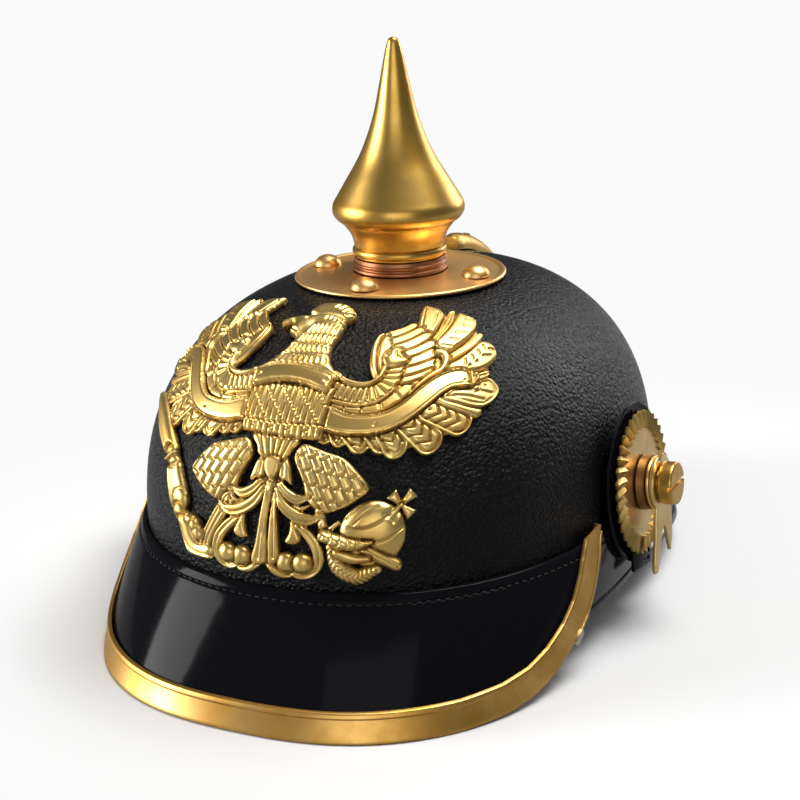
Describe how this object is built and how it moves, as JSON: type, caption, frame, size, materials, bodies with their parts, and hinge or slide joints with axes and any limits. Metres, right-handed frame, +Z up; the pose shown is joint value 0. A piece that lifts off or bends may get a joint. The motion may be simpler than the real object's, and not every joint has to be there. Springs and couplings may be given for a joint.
{
  "type": "spiked helmet",
  "caption": "Leather parade helmet with a tall brass spike on a round plate, an eagle front plate, two peaks, a brass edge strip and ribbed side rosettes.",
  "frame": {"origin": "middle of the footprint, on the surface the helmet stands on", "axes": "+Z up, front peak and eagle towards -Y, wearer's left side at +X"},
  "size_m": [0.2328, 0.2887, 0.2218],
  "materials": {
    "grained_leather": "black grained leather, slightly polished",
    "patent_leather": "smooth glossy black patent leather",
    "brass": "satin antique brass",
    "pale_brass": "polished pale stamped brass",
    "copper_brass": "reddish worn brass"
  },
  "bodies": {
    "helmet": {"shell": "grained_leather", "front_visor": "patent_leather", "rear_visor": "patent_leather", "front_trim": "brass", "eagle_plate": "pale_brass", "rear_spine": "brass", "base_plate": "brass", "spike_collar": "copper_brass", "spike": "brass", "stud_front": "pale_brass", "stud_right": "pale_brass", "stud_back": "pale_brass", "stud_left": "pale_brass", "cockade_left": "patent_leather", "strap_tab_left": "patent_leather", "rosette_left": "pale_brass", "boss_left": "brass", "washer_left": "pale_brass", "post_stud_left": "brass", "cockade_right": "patent_leather", "strap_tab_right": "patent_leather", "rosette_right": "pale_brass", "boss_right": "brass", "washer_right": "pale_brass", "post_stud_right": "brass"},
    "hanger_left": {"hanger_left": "pale_brass"},
    "hanger_right": {"hanger_right": "pale_brass"}
  },
  "joints": [
    {"name": "hanger_left_swing", "type": "hinge", "parent": "helmet", "child": "hanger_left", "pos_m": [-0.0987, 0.00185, 0.0536], "axis": [-0.9944, -0.0434, 0.0958], "continuous": true},
    {"name": "hanger_right_swing", "type": "hinge", "parent": "helmet", "child": "hanger_right", "pos_m": [0.0987, 0.00185, 0.0536], "axis": [0.9944, -0.0434, 0.0958], "continuous": true}
  ]
}
